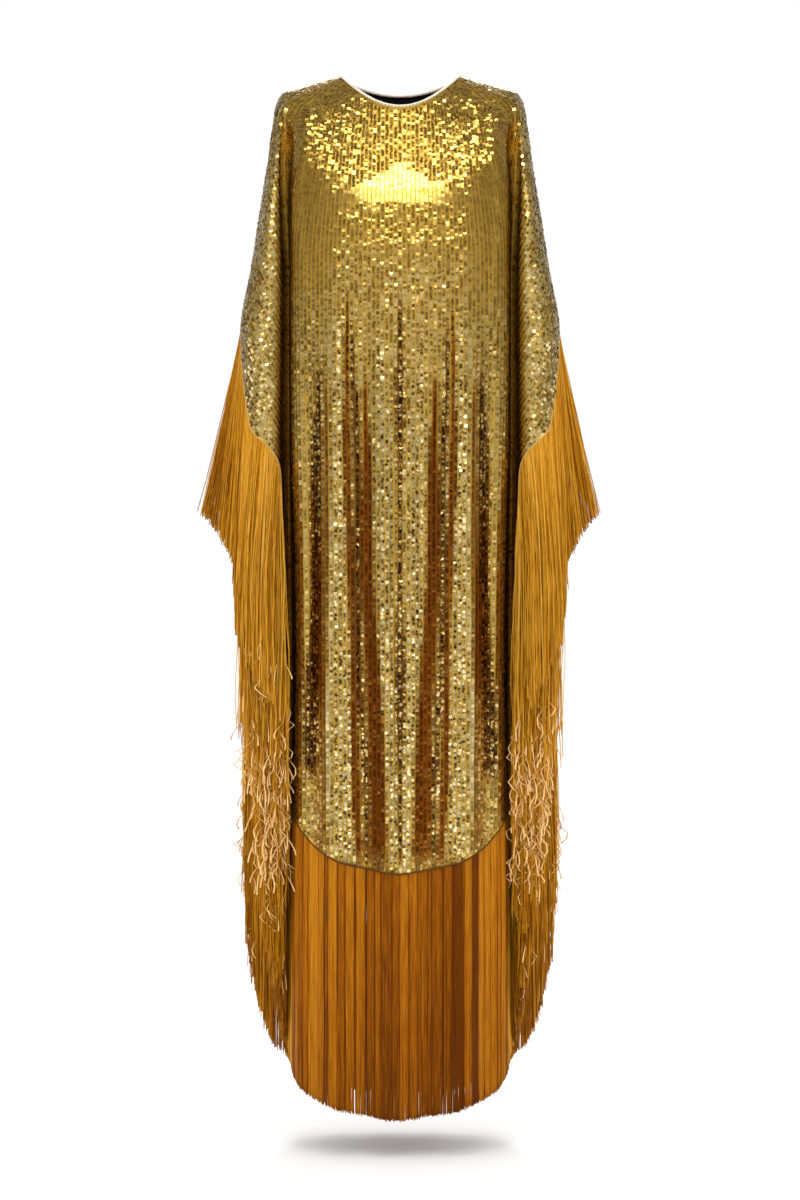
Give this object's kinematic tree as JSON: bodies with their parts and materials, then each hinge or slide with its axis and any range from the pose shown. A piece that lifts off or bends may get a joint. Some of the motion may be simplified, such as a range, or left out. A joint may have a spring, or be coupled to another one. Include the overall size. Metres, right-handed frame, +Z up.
{
  "type": "long fringed kaftan",
  "caption": "Ankle-length kaftan in gold sequin cloth with wide batwing sleeves, a round neck and a deep silky fringe along the hem and the sleeve edges, hollow, in its worn shape.",
  "frame": {"origin": "midway between the two sides of the neck opening, at the height of the shoulder seams beside the neck, in the middle of the garment's depth", "axes": "+Z up, the front of the garment faces -Y, +X is the wearer's left"},
  "size_m": [0.5844, 0.2625, 1.5463],
  "materials": {
    "front_sequin_cloth": "knitted cloth covered with small round gold sequins, glossy",
    "back_sequin_cloth": "knitted cloth covered with small round gold sequins, glossy",
    "satin_binding": "pale champagne satin, soft sheen",
    "front_hem_yarn": "smooth amber silk yarn, glossy",
    "back_hem_yarn": "smooth amber silk yarn, glossy",
    "front_left_yarn": "smooth golden silk yarn, glossy",
    "front_right_yarn": "smooth golden silk yarn, glossy",
    "back_left_yarn": "smooth golden silk yarn, glossy",
    "back_right_yarn": "smooth golden silk yarn, glossy"
  },
  "bodies": {
    "root": {"front_panel": "front_sequin_cloth", "back_panel": "back_sequin_cloth", "neck_binding": "satin_binding", "front_hem_fringe": "front_hem_yarn", "back_hem_fringe": "back_hem_yarn", "front_left_fringe": "front_left_yarn", "front_right_fringe": "front_right_yarn", "back_left_fringe": "back_left_yarn", "back_right_fringe": "back_right_yarn"}
  },
  "joints": []
}
